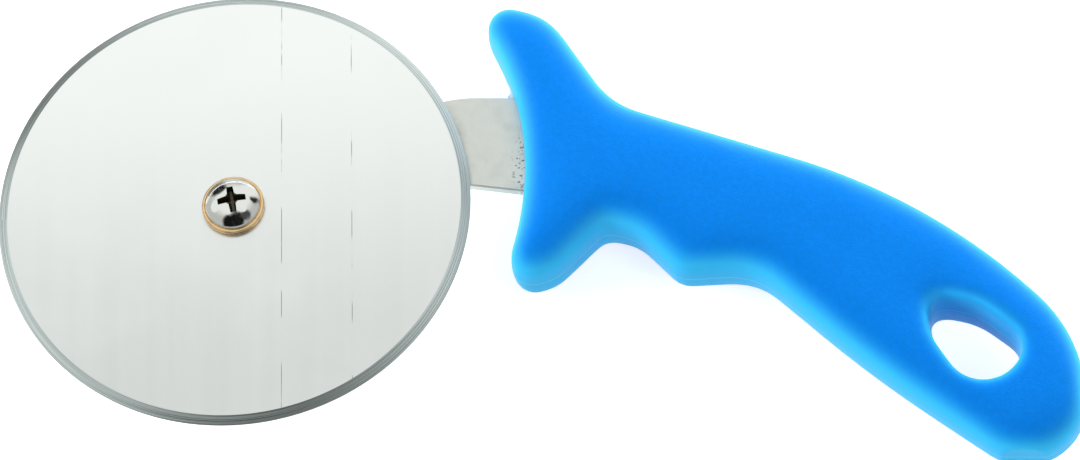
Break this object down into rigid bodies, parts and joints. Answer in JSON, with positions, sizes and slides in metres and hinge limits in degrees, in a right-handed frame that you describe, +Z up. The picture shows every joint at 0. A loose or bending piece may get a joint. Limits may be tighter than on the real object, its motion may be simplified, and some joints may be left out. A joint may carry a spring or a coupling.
{
  "type": "pizza cutter wheel",
  "caption": "Hand-held rolling cutter: a bevelled steel disc turns on a flanged bush at the end of a flat shank set in a guarded moulded handle.",
  "frame": {"origin": "middle of the tool's footprint, on the surface that it lies on with its screw head up", "axes": "+Z up along the wheel's axis, +X from the wheel to the handle's end, +Y across the tool on the thumb side"},
  "size_m": [0.2285, 0.1056, 0.0197],
  "materials": {
    "ground_steel": "lightly brushed faces with a ground bevel",
    "stamped_steel": "matt, tumbled after stamping",
    "washer_steel": "plain",
    "bright_plating": "bright nickel plating",
    "brass": "turned",
    "blue_polypropylene": "satin moulded blue"
  },
  "bodies": {
    "frame": {"shank": "stamped_steel", "handle": "blue_polypropylene", "hub_bush": "brass", "spacer_washer": "washer_steel", "axle_screw": "bright_plating", "spring_washer": "washer_steel", "cap_nut": "bright_plating"},
    "wheel": {"blade_disc": "ground_steel"}
  },
  "joints": [
    {"name": "wheel_spin", "type": "hinge", "parent": "frame", "child": "wheel", "pos_m": [-0.06426, 0.00277, 0.01243], "axis": [0, 0, 1], "continuous": true}
  ]
}
